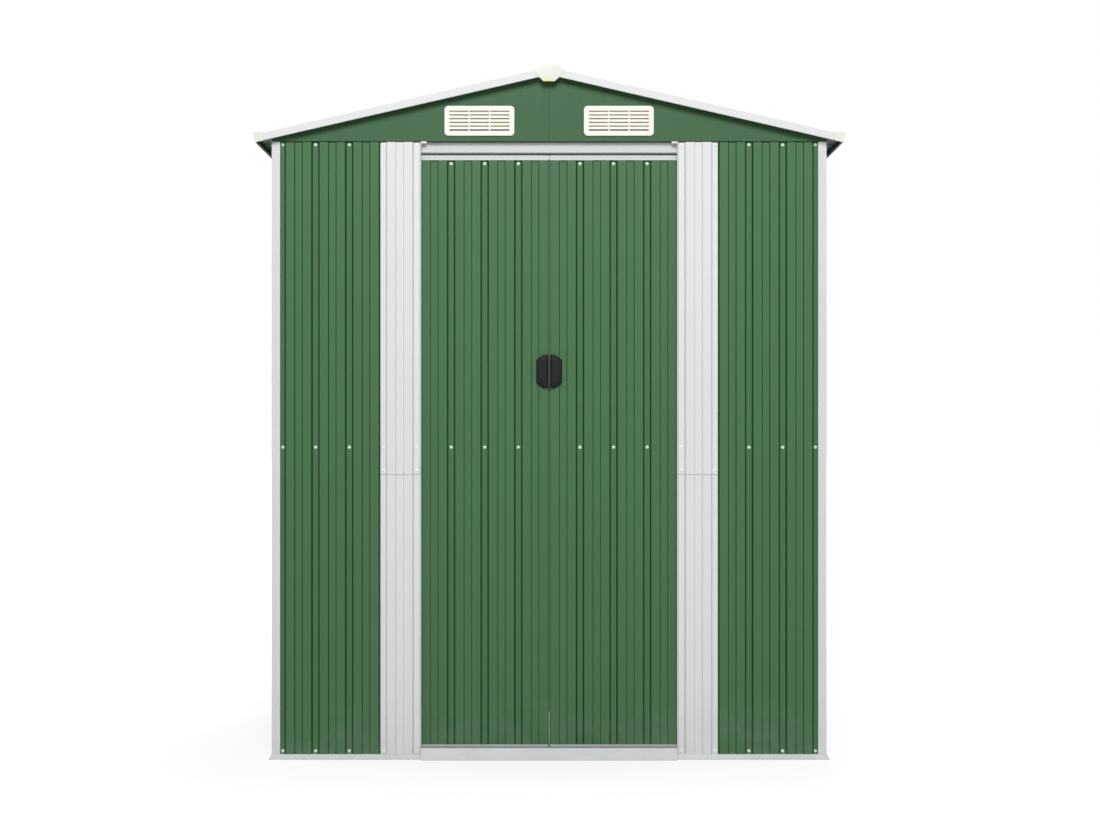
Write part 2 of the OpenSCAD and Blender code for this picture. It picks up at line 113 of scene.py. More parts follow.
class Nodes:
    """A few short calls for wiring a material."""

    def __init__(self, name):
        self.material = bpy.data.materials.new(name)
        self.material.use_nodes = True
        self.tree = self.material.node_tree
        self.shader = self.tree.nodes["Principled BSDF"]
        self.place = self.tree.nodes.new("ShaderNodeTexCoord").outputs["Object"]

    def add(self, kind, inputs=None, **settings):
        node = self.tree.nodes.new(kind)
        for key, value in settings.items():
            setattr(node, key, value)
        for key, value in (inputs or {}).items():
            self.set(node.inputs[key], value)
        return node

    def set(self, socket, value):
        if isinstance(value, bpy.types.NodeSocket):
            self.tree.links.new(value, socket)
        else:
            socket.default_value = value

    def stretched(self, x, y, z):
        """The object's own coordinates, scaled along each axis."""
        return self.add("ShaderNodeVectorMath", {0: self.place, 1: (x, y, z)},
                        operation="MULTIPLY").outputs[0]

    def noise(self, scale, detail=2.0, roughness=0.5, where=None):
        settings = {"Vector": where or self.place, "Scale": scale, "Detail": detail,
                    "Roughness": roughness}
        return self.add("ShaderNodeTexNoise", settings).outputs["Fac"]

    def spread(self, value, low, high, to_low=0.0, to_high=1.0):
        """Maps low to high onto to_low to to_high."""
        settings = {"Value": value, "From Min": low, "From Max": high, "To Min": to_low,
                    "To Max": to_high}
        return self.add("ShaderNodeMapRange", settings).outputs["Result"]

    def mix(self, factor, a, b):
        node = self.add("ShaderNodeMix", data_type="RGBA")
        for name, value in (("Factor", factor), ("A", a), ("B", b)):
            kind = "VALUE" if name == "Factor" else "RGBA"
            socket = next(s for s in node.inputs if s.name == name and s.type == kind)
            self.set(socket, value)
        return next(s for s in node.outputs if s.type == "RGBA")

    def math(self, operation, a, b=0.0):
        return self.add("ShaderNodeMath", {0: a, 1: b}, operation=operation).outputs[0]

    def bump(self, height, distance, strength, normal=None):
        node = self.add("ShaderNodeBump",
                        {"Height": height, "Distance": distance, "Strength": strength})
        if normal is not None:
            self.set(node.inputs["Normal"], normal)
        return node.outputs["Normal"]


def scaled(colour, share):
    """A darker shade of a colour, as RGBA."""
    return tuple(c * share for c in colour) + (1.0,)


DUST_FADE = (0.22, 0.02)            # heights where the dust starts and where it is full
DUST = 0.16                         # the most dust that covers the paint
DUST_COLOUR = (0.42, 0.40, 0.36, 1.0)
DUST_DULLS = 0.4                    # roughness that full dust adds


def paint(name, colour, rough, tint=0.04, bend_shade_colour=None):
    """Coil-coated steel: a fine pebbled skin, faint variation, painted shade on the sides of its
    bends, and a little dust near the ground."""
    n = Nodes(name)
    base, darker = (*colour, 1.0), scaled(colour, 1 - 2 * tint)
    broad = n.spread(n.noise(2.3, 3.0), 0.3, 0.7)
    fine = n.spread(n.noise(240.0, 2.0), 0.35, 0.65)
    shade = n.mix(n.math("MULTIPLY", broad, 0.5), base, darker)
    shade = n.mix(n.math("MULTIPLY", fine, 0.22), shade, darker)
    # painted shade: the bend attribute darkens the sides of the grooves towards the bend colour
    bend = n.add("ShaderNodeAttribute", attribute_name="bend").outputs["Fac"]
    shade = n.mix(bend, shade, (*bend_shade_colour, 1.0) if bend_shade_colour else scaled(colour, 0.5))
    height = n.add("ShaderNodeSeparateXYZ", {0: n.place}).outputs["Z"]
    patches = n.spread(n.noise(9.0, 6.0, 0.65), 0.42, 0.72, 0.0, DUST)
    dust = n.math("MULTIPLY", n.spread(height, *DUST_FADE), patches)
    n.set(n.shader.inputs["Base Color"], n.mix(dust, shade, DUST_COLOUR))
    streak = n.noise(1.0, 3.0, 0.6, n.stretched(90.0, 90.0, 2.0))
    clean = n.spread(streak, 0.3, 0.7, rough - 0.06, rough + 0.06)
    n.set(n.shader.inputs["Roughness"], n.math("ADD", clean, n.math("MULTIPLY", dust, DUST_DULLS)))
    skin = n.bump(n.noise(900.0, 2.0, 0.5), 0.00012, 0.35)
    n.set(n.shader.inputs["Normal"], n.bump(n.noise(4.0, 1.0, 0.4), 0.0007, 0.25, skin))
    n.shader.inputs["Specular IOR Level"].default_value = 0.22
    return n.material


def galvanised(name, colour=(0.56, 0.58, 0.60)):
    """Zinc with a spangle of crystal patches."""
    n = Nodes(name)
    cells = n.add("ShaderNodeTexVoronoi", {"Vector": n.place, "Scale": 70.0}).outputs["Color"]
    patch = n.add("ShaderNodeSeparateColor", {0: cells}).outputs[0]
    share = n.math("MULTIPLY", patch, 0.6)
    n.set(n.shader.inputs["Base Color"], n.mix(share, (*colour, 1.0), scaled(colour, 0.72)))
    n.set(n.shader.inputs["Roughness"], n.spread(patch, 0.0, 1.0, 0.38, 0.52))
    n.shader.inputs["Metallic"].default_value = 0.85
    n.set(n.shader.inputs["Normal"], n.bump(n.noise(420.0, 3.0), 0.0001, 0.4))
    return n.material


def moulded(name, colour, rough, grain=0.4, shift=None, gloss=0.4):
    """Moulded plastic with a fine spark-eroded grain."""
    n = Nodes(name)
    other = (*shift, 1.0) if shift else scaled(colour, 0.93)
    patches = n.spread(n.noise(6.0, 2.0), 0.35, 0.7)
    n.set(n.shader.inputs["Base Color"], n.mix(patches, (*colour, 1.0), other))
    polish = n.spread(n.noise(60.0, 2.0), 0.3, 0.7, rough - 0.05, rough + 0.05)
    n.set(n.shader.inputs["Roughness"], polish)
    n.set(n.shader.inputs["Normal"], n.bump(n.noise(1500.0, 2.0), 0.0001, grain))
    n.shader.inputs["Specular IOR Level"].default_value = gloss
    return n.material


# the green's and the white's bend colours are painted shade for the sides of the grooves
GREEN = paint("green_paint", (0.077, 0.188, 0.084), rough=0.50, bend_shade_colour=(0.0, 0.042, 0.008))
# a darker copy of the green paint: painted shade on the gables under the roof's edge and on the lip
# between the doors
GREEN_PAINTED_SHADE = paint("green_paint_painted_shade", (0.058, 0.146, 0.064), rough=0.50)
WHITE = paint("white_paint", (0.82, 0.82, 0.82), rough=0.46, tint=0.02,
              bend_shade_colour=(0.60, 0.60, 0.61))
# a darker copy of the white paint: painted shade on the recessed door channels, header, tongue and
# threshold
TRIM_PAINTED_SHADE = paint("trim_paint_painted_shade", (0.69, 0.71, 0.705), rough=0.46, tint=0.02)
# broad darker patches, stronger than on the other paints: painted reflections along the base frame
BASE_TRIM_PAINTED_REFLECTION = paint("base_trim_painted_reflection", (0.74, 0.755, 0.75), rough=0.42, tint=0.10)
# a darker, greener copy of the white paint: painted shade at the base frame's foot, on the doors'
# lower channels and under the door strips' joint
SHADE_TRIM = paint("shaded_trim_paint", (0.55, 0.61, 0.57), rough=0.46, tint=0.04)
POST_WHITE = paint("post_paint", (0.77, 0.765, 0.77), rough=0.46, tint=0.03)
# painted shade: dark grey on the undersides of the eave trims and their faces towards the wall
EAVE_PAINTED_SHADE = paint("eave_underside_painted_shade", (0.14, 0.14, 0.14), rough=0.6, tint=0.1)
# painted shade: a grey strip that fills the gap under the door header
GAP_PAINTED_SHADE = paint("header_gap_painted_shade", (0.22, 0.22, 0.22), rough=0.7, tint=0.04)
# the sheets' grey backing coat, also used as painted shade on the threshold's top
PRIMER_AND_PAINTED_SHADE = paint("grey_backing_coat_and_painted_shade", (0.40, 0.41, 0.40), rough=0.55, tint=0.06)
# near black painted shade inside the lower door track
TRACK_PAINTED_SHADE = paint("track_painted_shade", (0.03, 0.03, 0.03), rough=0.7, tint=0.1)
EDGE = galvanised("cut_steel_edge", (0.50, 0.51, 0.52))
ZINC = galvanised("galvanised_steel")
CREAM = moulded("cream_plastic", (0.95, 0.95, 0.90), 0.42, shift=(0.95, 0.94, 0.82))
# a darker, yellower copy of the cream: painted shade in the vents' slots
BLADE_PAINTED_SHADE = moulded("louvre_plastic_painted_shade", (0.84, 0.80, 0.62), 0.45)
PALE = moulded("pale_plastic", (0.85, 0.865, 0.79), 0.42)
# a painted yellow-green reflection for the band on the ridge's end plates
PALE_PAINTED_REFLECTION = moulded("pale_plastic_painted_reflection", (0.90, 0.95, 0.36), 0.45)
CHARCOAL = moulded("charcoal_plastic", (0.0105, 0.010, 0.010), 0.6, 0.8, gloss=0.3)
MINT = moulded("pale_green_plastic", (0.55, 0.70, 0.56), 0.45)
GREY = moulded("grey_plastic", (0.08, 0.08, 0.08), 0.5)
SCREW_CAP = moulded("screw_cap", (0.78, 0.93, 0.81), 0.3, 0.1)
SCREW_WHITE = moulded("screw_cap_white", (0.95, 0.96, 0.95), 0.3, 0.1)

# ---------------------------------------------------------------- mesh tools


def piece(name, bm, materials, body, slot, stands_for=(), smooth_below=35.0):
    """Turns a bmesh into a piece that rides on a body."""
    bmesh.ops.recalc_face_normals(bm, faces=bm.faces)
    limit = math.radians(smooth_below)
    for face in bm.faces:
        face.smooth = True
    for edge in bm.edges:
        edge.smooth = len(edge.link_faces) == 2 and edge.calc_face_angle() < limit
    mesh = bpy.data.meshes.new(name)
    bm.to_mesh(mesh)
    bm.free()
    for material in materials:
        mesh.materials.append(material)
    obj = bpy.data.objects.new(name, mesh)
    SCENE.collection.objects.link(obj)
    level = obj.modifiers.new("level_normals", "WEIGHTED_NORMAL")
    level.keep_sharp = True
    level.weight = 100
    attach(obj, body)
    if stands_for:
        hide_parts(*stands_for)
    return obj


def body_of(node):
    return NODES[node]["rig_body"]


def solid_of(node):
    """A CAD node's own solid, with its flat faces whole again."""
    bm = bmesh.new()
    bm.from_mesh(NODES[node].data)
    bmesh.ops.remove_doubles(bm, verts=bm.verts, dist=2e-5)
    bmesh.ops.dissolve_limit(bm, angle_limit=math.radians(0.5), verts=bm.verts, edges=bm.edges)
    return bm


def soften(bm, width, segments=2, above=25.0):
    """Rounds every sharp edge."""
    bm.normal_update()
    sharp = [e for e in bm.edges
             if len(e.link_faces) == 2 and e.calc_face_angle() > math.radians(above)]
    bmesh.ops.bevel(bm, geom=sharp, offset=width, segments=segments, profile=0.5,
                    affect="EDGES", clamp_overlap=True)


def softened(node, material, slot, width=0.0004, segments=2, others=(), cut_z=None):
    """A node with its edges rounded. others lists (material, rule) pairs for the faces that a rule
    picks, and cut_z is a height to part its faces at first."""
    bm = solid_of(node)
    if cut_z:
        bmesh.ops.bisect_plane(bm, geom=[*bm.verts, *bm.edges, *bm.faces], dist=1e-6,
                               plane_co=(0, 0, cut_z), plane_no=(0, 0, 1))
    soften(bm, width, segments)
    bm.normal_update()
    for face in bm.faces:
        face.material_index = next((i for i, (_, rule) in enumerate(others, 1) if rule(face)), 0)
    materials = [material, *(other for other, _ in others)]
    return piece(node + "_shape", bm, materials, body_of(node), slot, [node])


def filleted(points, radius, steps=3):
    """A path in two dimensions with its bends rounded."""
    out = [Vector(points[0])]
    for before, here, after in zip(points, points[1:], points[2:]):
        before, here, after = Vector(before), Vector(here), Vector(after)
        a, b = before - here, after - here
        turn = math.pi - a.angle(b)
        if turn < 0.01:
            out.append(here)
            continue
        reach = min(radius * math.tan(turn / 2), a.length * 0.45, b.length * 0.45)
        start, end = here + a.normalized() * reach, here + b.normalized() * reach
        for i in range(steps + 1):
            t = i / steps
            out.append(start * (1 - t) ** 2 + here * 2 * t * (1 - t) + end * t ** 2)
    out.append(Vector(points[-1]))
    return out


def groove_depth(x, x0):
    """Depth of a ribbed sheet at x, with a deep groove at x0."""
    def ramp(u, half, side, depth):
        u -= RIB_PITCH * round(u / RIB_PITCH)
        return depth * min(1.0, max(0.0, (half - abs(u)) / side))
    return max(ramp(x - x0, GROOVE_W / 2, GROOVE_SIDE, GROOVE_D),
               ramp(x - x0 - RIB_PITCH / 2, DIP_W / 2, DIP_SIDE, DIP_D))


def rib_path(a, b, x0):
    """The outer face of a ribbed sheet from a to b: points across the sheet and into it."""
    deep, dip, middle = GROOVE_W / 2, DIP_W / 2, RIB_PITCH / 2
    offsets = [-deep, GROOVE_SIDE - deep, deep - GROOVE_SIDE, deep,
               middle - dip, middle - dip + DIP_SIDE, middle + dip - DIP_SIDE, middle + dip]
    first, last = math.floor((a - x0) / RIB_PITCH) - 1, math.ceil((b - x0) / RIB_PITCH) + 1
    bends = [x0 + k * RIB_PITCH + u for k in range(first, last + 1) for u in offsets]
    inner = [x for x in bends if a + EDGE_CLEAR < x < b - EDGE_CLEAR]
    return [(x, groove_depth(x, x0)) for x in [a, *inner, b]]


def bend_shade_of(a, b, bend_shade):
    """How much painted shade a sheet's facet from a to b takes: none where flat or folded right
    back, most on the side of a deep groove. The last argument gives the shares of a shallow groove
    and of a side that faces away from the doorway."""
    run, drop = abs(b.x - a.x), abs(b.y - a.y)
    if run < 1e-5 or drop < 1e-6:
        return 0.0
    share = 1.0 if max(a.y, b.y) > 1.15 * DIP_D else bend_shade[0]
    return drop / math.hypot(run, drop) * share * (bend_shade[1] if b.y > a.y else 1.0)


def swell(x, z, seed):
    """How far a sheet bulges at a point, as a share of its wave."""
    return 1 + noise.noise(Vector((x * 5.0 + seed, z * 3.1, seed * 1.7)))


def add_strip(bm, path, thickness, rows, place, wave=0.0, seed=0.0, faces=(0, 1, 2),
              bend_shade=None):
    """A folded strip: path is its outer face in two dimensions, rows the stations along it, and
    place turns (across, into, along) into a point. faces gives the materials of its outer face,
    inner face and cut edges."""
    count = len(path)
    normals = []
    for i, p in enumerate(path):
        before = (p - path[i - 1]) if i else (path[1] - p)
        after = (path[i + 1] - p) if i < count - 1 else before
        side = Vector((-before.y, before.x)).normalized() + Vector((-after.y, after.x)).normalized()
        normals.append(side.normalized() / max(0.5, side.length / 2))
    skins = []
    for depth in (0.0, thickness):
        grid = []
        for z in rows:
            line = []
            for p, normal in zip(path, normals):
                q = p + normal * depth
                bulge = wave * swell(q.x, z, seed) if wave else 0.0
                line.append(bm.verts.new(place(q.x, q.y + bulge, z)))
            grid.append(line)
        skins.append(grid)
    outer, inner = skins
    # the bend attribute carries each facet's painted shade
    bend = bm.faces.layers.float.get("bend") or bm.faces.layers.float.new("bend")

    def quad(a, b, c, d, material, shade=0.0):
        face = bm.faces.new((a, b, c, d))
        face.material_index = material
        face[bend] = shade
    last = len(rows) - 1
    for r in range(last):
        for i in range(count - 1):
            shade = bend_shade_of(path[i], path[i + 1], bend_shade) if bend_shade else 0.0
            quad(outer[r][i], outer[r][i + 1], outer[r + 1][i + 1], outer[r + 1][i], faces[0],
                 shade)
            quad(inner[r][i + 1], inner[r][i], inner[r + 1][i], inner[r + 1][i + 1], faces[1])
        quad(inner[r][0], outer[r][0], outer[r + 1][0], inner[r + 1][0], faces[2])
        quad(outer[r][-1], inner[r][-1], inner[r + 1][-1], outer[r + 1][-1], faces[2])
    for i in range(count - 1):
        quad(inner[0][i], inner[0][i + 1], outer[0][i + 1], outer[0][i], faces[2])
        quad(outer[last][i], outer[last][i + 1], inner[last][i + 1], inner[last][i], faces[2])


def add_prism(bm, outline, place, depths):
    """A solid through rings: outline(inset) gives a ring's points, and depths lists the rings'
    (inset, depth) pairs."""
    rings = [[bm.verts.new(place(x, depth, z)) for x, z in outline(inset)]
             for inset, depth in depths]
    bm.faces.new(rings[0])
    bm.faces.new(list(reversed(rings[-1])))
    for low, high in zip(rings, rings[1:]):
        for i in range(len(low)):
            j = (i + 1) % len(low)
            bm.faces.new((low[i], low[j], high[j], high[i]))


def add_box(bm, low, high, bevel=0.0):
    """A box between two corners, with its edges rounded by bevel."""
    low, high = Vector(low), Vector(high)
    shape = Matrix.LocRotScale((low + high) / 2, None, high - low)
    corners = bmesh.ops.create_cube(bm, size=1.0, matrix=shape)["verts"]
    if bevel:
        edges = [e for e in bm.edges if e.verts[0] in corners]
        bmesh.ops.bevel(bm, geom=edges, offset=bevel, segments=2, profile=0.5, affect="EDGES")


def spaced(low, high, step):
    count = max(1, round((high - low) / step))
    return [low + (high - low) * i / count for i in range(count + 1)]


def facing(origin, across, into):
    """Turns (across, into, up) into a point of the shed, for a sheet that stands upright."""
    origin, across, into = Vector(origin), Vector(across), Vector(into)
    return lambda u, d, z: origin + across * u + into * d + Vector((0, 0, z))


# ---------------------------------------------------------------- ribbed sheets

FRONT = facing((0, FRONT_Y, 0), (1, 0, 0), (0, 1, 0))
BACK = facing((0, BACK_Y, 0), (-1, 0, 0), (0, -1, 0))
RIGHT = facing((SIDE_X, 0, 0), (0, 1, 0), (-1, 0, 0))
LEFT = facing((-SIDE_X, 0, 0), (0, -1, 0), (1, 0, 0))
DOOR = facing((0, DOOR_Y, 0), (1, 0, 0), (0, 1, 0))


def roof_place(side):
    """Turns (across, into, down the slope) into a point of one half of the roof."""
    run, rise = math.cos(PITCH), math.sin(PITCH)
    return lambda u, d, s: Vector((side * (ROOF_X0 + s * run - d * rise), u,
                                   ROOF_TOP - s * rise - d * run))


def lapped(ends, cuts):
    """Spans between the cuts, which lap over each other there."""
    edges, lap = [ends[0], *cuts, ends[1]], SHEET_LAP / 2
    return [(a - (lap if i else 0), b + (lap if i < len(cuts) else 0))
            for i, (a, b) in enumerate(zip(edges, edges[1:]))]


def sheets(name, node, place, spans, z0, z1):
    """Green ribbed sheets side by side, with a deep groove in the middle. Each span is one sheet,
    and every second one lies on top."""
    bm = bmesh.new()
    for i, (a, b) in enumerate(spans):
        lap = Vector((0, LAP if i % 2 == 0 else 0.0))
        path = [p + lap for p in filleted(rib_path(a, b, 0.0), BEND_R)]
        add_strip(bm, path, STEEL_T, spaced(z0, z1, ROW_STEP), place, SHEET_WAVE,
                  seed=a * 7.3 + i, bend_shade=GREEN_BEND_SHADE)
    piece(name, bm, [GREEN, PRIMER_AND_PAINTED_SHADE, EDGE], body_of(node), "green_steel", [node])


def edged_sheet(name, node, place, side, span, folds, depth, x0, rows, looks):
    """One ribbed sheet with a deep groove at x0. folds says how far its two edges are folded back,
    depth how far it lies behind the face, rows its foot and top, and side -1 mirrors it."""
    material, slot, bend_shade = looks
    path = rib_path(*span, x0)
    if folds[0]:
        path = [(span[0], folds[0] - depth), *path]
    if folds[1]:
        path = [*path, (span[1], folds[1] - depth)]
    rounded = [p + Vector((0, depth)) for p in filleted(path, BEND_R)]
    bm = bmesh.new()
    add_strip(bm, rounded, STEEL_T, spaced(*rows, ROW_STEP), lambda u, d, z: place(side * u, d, z),
              SHEET_WAVE, seed=span[0] * 3.1 + side, bend_shade=bend_shade)
    piece(name, bm, [material, PRIMER_AND_PAINTED_SHADE, EDGE], body_of(node), slot, [node])


UNDER_STRIP = 0.012         # how far a green front sheet runs on behind the white strip
STRIP_LAP = 0.022           # how far the upper strip hangs over the lower one
DOOR_SKIN_X = 0.0052        # inner edge of a door's sheet
DOOR_FOLD = 0.008           # how far a door's outer edge is folded back
SIDE_CUTS = [-2 * RIB_PITCH, 2 * RIB_PITCH]
BACK_CUTS = [-4 * RIB_PITCH, 0.0, 4 * RIB_PITCH]
GREEN_STEEL = (GREEN, "green_steel", GREEN_BEND_SHADE)
WHITE_STEEL = (WHITE, "white_steel", WHITE_BEND_SHADE)


def build_sheets():
    side_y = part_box("side_wall_right")[HIGH].y
    back_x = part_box("back_wall")[HIGH].x
    roof_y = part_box("roof_sheet_right")[HIGH].y
    door_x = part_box("door_right_channels")[HIGH].x
    strip = (OPENING_X, STRIP_X)
    for side, hand in SIDES:
        edged_sheet(f"front_sheet_{hand}", f"front_wall_{hand}", FRONT, side,
                    (STRIP_X - UNDER_STRIP, WALL_X), (0, 0), FRONT_SHEET_IN, GROOVE_X,
                    (FOOT_Z, WALL_TOP), GREEN_STEEL)
        edged_sheet(f"strip_{hand}_lower", f"door_strip_{hand}_lower", FRONT, side,
                    strip, (STRIP_FOLD - LAP, 0), LOWER_STRIP_IN, GROOVE_X,
                    (FOOT_Z, STRIP_JOINT + STRIP_LAP), WHITE_STEEL)
        edged_sheet(f"strip_{hand}_upper", f"door_strip_{hand}_upper", FRONT, side,
                    strip, (STRIP_FOLD, 0), UPPER_STRIP_IN, GROOVE_X,
                    (STRIP_JOINT, WALL_TOP), WHITE_STEEL)
        edged_sheet(f"door_{hand}_skin", f"door_{hand}_sheet", DOOR, side,
                    (DOOR_SKIN_X, door_x), (0, DOOR_FOLD), 0.0, DOOR_GROOVE_X,
                    (DOOR_FOOT, DOOR_TOP), GREEN_STEEL)
        sheets(f"side_sheets_{hand}", f"side_wall_{hand}", RIGHT if side > 0 else LEFT,
               lapped((-side_y, side_y), SIDE_CUTS), FOOT_Z, WALL_TOP)
        sheets(f"roof_sheets_{hand}", f"roof_sheet_{hand}", roof_place(side),
               lapped((-roof_y, roof_y), SIDE_CUTS), 0.0, ROOF_LENGTH)
    sheets("back_sheets", "back_wall", BACK, lapped((-back_x, back_x), BACK_CUTS), FOOT_Z, WALL_TOP)


build_sheets()

# ---------------------------------------------------------------- frame and trims

SLIDER_CLEAR = 0.003        # how far outside a door's sheet only its sliders reach
CHANNEL_H = 0.02            # height of a door's lower channel
BASE_LINE = 0.0026          # height of the painted shade line along the foot of the base frame


def underneath(face):
    """The underside of an eave trim, and its face towards the wall, which take painted shade."""
    middle = face.calc_center_median()
    return face.normal.z < -0.5 or face.normal.x * middle.x < -0.5 * abs(middle.x)


def slider_part(face):
    """The faces of a door's sliders, which stand clear above and below its channels."""
    z = face.calc_center_median().z
    return z > DOOR_TOP + SLIDER_CLEAR or z < DOOR_FOOT - SLIDER_CLEAR


def channel_foot_shade(face):
    """The lower channel of a door, which takes painted shade."""
    return face.calc_center_median().z < DOOR_FOOT + CHANNEL_H


def base_foot_shade(face):
    """The foot of the base frame, where a painted shade line runs."""
    return face.calc_center_median().z < BASE_LINE


def track_inside(face):
    """The inside of a track, which takes near black painted shade."""
    return face.normal.z > 0.5 or face.normal.y < -0.5


def upward(face):
    """A flat top."""
    return face.normal.z > 0.9


def build_trims():
    # the base frame with painted reflections, and a painted shade line along its foot
    for node in ["base_rail_front", "base_rail_back", "base_rail_left", "base_rail_right"]:
        softened(node, BASE_TRIM_PAINTED_REFLECTION, "white_steel", others=[(SHADE_TRIM, base_foot_shade)], cut_z=BASE_LINE)
    # the threshold in painted shade, with a darker grey painted shade on its top
    softened("threshold", TRIM_PAINTED_SHADE, "white_steel", others=[(PRIMER_AND_PAINTED_SHADE, upward)])
    for node in ["ridge_cap", "gable_trim_front_left", "gable_trim_front_right",
                 "gable_trims_back"]:
        softened(node, WHITE, "white_steel")
    for node in ["eave_trim_left", "eave_trim_right"]:
        # the eave trims' undersides in dark painted shade
        softened(node, WHITE, "white_steel", others=[(EAVE_PAINTED_SHADE, underneath)])
    # the door channels and header in painted shade; the doors' lower channels darker still
    for node in ["door_left_channels", "door_right_channels"]:
        softened(node, TRIM_PAINTED_SHADE, "white_steel",
                 others=[(CHARCOAL, slider_part), (SHADE_TRIM, channel_foot_shade)])
    softened("door_header", TRIM_PAINTED_SHADE, "white_steel")
    # the gables in the darker green, as painted shade
    for node in ["gable_front_left", "gable_front_right", "gable_back"]:
        softened(node, GREEN_PAINTED_SHADE, "green_steel", width=0.0008)
    # the lower track's inside in near black painted shade
    softened("door_track_bottom", ZINC, "galvanised_steel", others=[(TRACK_PAINTED_SHADE, track_inside)])
    for node in ["door_track_top", "mid_rails", "top_rails", "roof_beams"]:
        softened(node, ZINC, "galvanised_steel")
    softened("corner_caps", PALE, "cream_plastic", width=0.0009, segments=3)


def build_ridge_ends():
    """The ridge's end plates, with a painted yellow-green reflection in a band round the lower part
    of their faces, which falls away towards the edge."""
    band_w, fall, band_h, edge_r = 0.0064, 0.0013, 0.017, 0.0005
    for node, inward in (("ridge_end_cap_front", 1), ("ridge_end_cap_back", -1)):
        band_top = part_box(node)[LOW].z + band_h
        bm = solid_of(node)

        def outer_face():
            return max(bm.faces, key=lambda f: -inward * f.normal.y * f.calc_area())

        def is_low(face):
            return face.calc_center_median().z < band_top
        ring = bmesh.ops.inset_individual(bm, faces=[outer_face()], thickness=band_w)["faces"]
        for face in ring:
            face.material_index = int(is_low(face))
        for v in {v for f in ring for v in f.verts} - set(outer_face().verts):
            v.co.y += inward * fall
        bmesh.ops.bisect_plane(bm, geom=[*bm.verts, *bm.edges, *bm.faces], dist=1e-6,
                               plane_co=(0, 0, band_top), plane_no=(0, 0, 1))
        for face in bm.faces:
            if not is_low(face):
                face.material_index = 0
        soften(bm, edge_r)
        piece(node + "_shape", bm, [PALE, PALE_PAINTED_REFLECTION], "shed", "cream_plastic", [node])


def build_posts():
    """Corner angles with one rounded bend each."""
    bend_r, post_t, row_step = 0.0022, 0.0009, 0.25
    corner = [(POST_X - POST_W, POST_Y), (POST_X, POST_Y), (POST_X, POST_Y + POST_W)]
    bend = filleted(corner, bend_r, 5)
    rows = spaced(FOOT_Z, WALL_TOP, row_step)
    corners = {"corner_post_front_right": [(1, 1)], "corner_post_front_left": [(-1, 1)],
               "corner_posts_back": [(1, -1), (-1, -1)]}
    for node, sides in corners.items():
        bm = bmesh.new()
        for sx, sy in sides:
            add_strip(bm, bend, post_t, rows, lambda u, d, z: Vector((sx * u, sy * d, z)),
                      faces=(0, 0, 1))
        piece(node + "_angle", bm, [POST_WHITE, EDGE], "shed", "white_steel", [node])


build_trims()
build_ridge_ends()
build_posts()

# ---------------------------------------------------------------- header, seals and door lips


def build_header_parts():
    """Small ears at the two ends of the header, over the gable's foot, and a dark grey strip along
    the header's lower edge, which paints the shade in the gap below it."""
    tab_outer, tab_inner = OPENING_X + 0.001, OPENING_X - 0.018
    tab_low, tab_high = WALL_TOP - 0.005, WALL_TOP + 0.0014
    gap_shade_h, gap_shade_t, gap = 0.0042, 0.0012, 0.0001
    low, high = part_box("door_header")
    gable_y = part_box("gable_front_right")[LOW].y
    bm = bmesh.new()
    for side, _ in SIDES:
        left, right = sorted((side * tab_outer, side * tab_inner))
        add_box(bm, (left, gable_y - 0.0010, tab_low), (right, gable_y - 0.0002, tab_high), 0.0003)
    piece("header_tabs", bm, [WHITE], "shed", "white_steel")
    # a grey strip in the gap under the header, as painted shade
    bm = bmesh.new()
    add_box(bm, (-OPENING_X, high.y - gap_shade_t, low.z - gap_shade_h),
            (OPENING_X, high.y - 2 * gap, low.z - gap))
    piece("header_gap_shade_strip", bm, [GAP_PAINTED_SHADE], "shed", "black_plastic")


def build_joint_shadows():
    """A thin grey line under the lower edge of each upper door strip: the strip's painted shadow.
    """
    depth, proud, hidden = 0.0004, 0.0022, 0.001
    ribs = rib_path(OPENING_X + 0.0005, STRIP_X, GROOVE_X)
    path = [p + Vector((0, LOWER_STRIP_IN - depth)) for p in filleted(ribs, BEND_R)]
    rows = [STRIP_JOINT - proud, STRIP_JOINT + hidden]
    for side, hand in SIDES:
        bm = bmesh.new()
        add_strip(bm, path, depth, rows, lambda u, d, z: FRONT(side * u, d, z), faces=(0, 0, 0))
        piece(f"joint_shadow_line_{hand}", bm, [SHADE_TRIM], "shed", "white_steel")


def build_door_lip():
    """What closes the gap between the doors, all on the left one: a folded lip behind the right
    door's edge, a pale buffer in front of its foot, and the upper channel's tongue."""
    lip_y, lip_t, inset = DOOR_Y + 0.0032, 0.0008, 0.002
    buffer_top, buffer_t, half_buffer = 0.150, 0.0016, 0.0008
    tongue_top, tongue_h = DOOR_TOP + 0.001, 0.015
    bm = bmesh.new()
    add_box(bm, (-0.012, lip_y, DOOR_FOOT + inset),
            (0.009, lip_y + lip_t, DOOR_TOP - inset), 0.0002)
    # the lip in the darker green, as painted shade
    piece("door_left_lip", bm, [GREEN_PAINTED_SHADE], "door_left", "green_steel")
    bm = bmesh.new()
    add_box(bm, (-half_buffer, lip_y - buffer_t, DOOR_FOOT + 2 * inset),
            (half_buffer, lip_y, buffer_top), 0.0003)
    piece("door_left_buffer", bm, [MINT], "door_left", "white_steel")
    bm = bmesh.new()
    add_box(bm, (-0.008, DOOR_Y - 0.0002, tongue_top - tongue_h),
            (0.0018, DOOR_Y + 0.0006, tongue_top), 0.0002)
    # the tongue in the darker white, as painted shade
    piece("door_left_tongue", bm, [TRIM_PAINTED_SHADE], "door_left", "white_steel")


build_header_parts()
build_joint_shadows()
build_door_lip()

# ---------------------------------------------------------------- vents

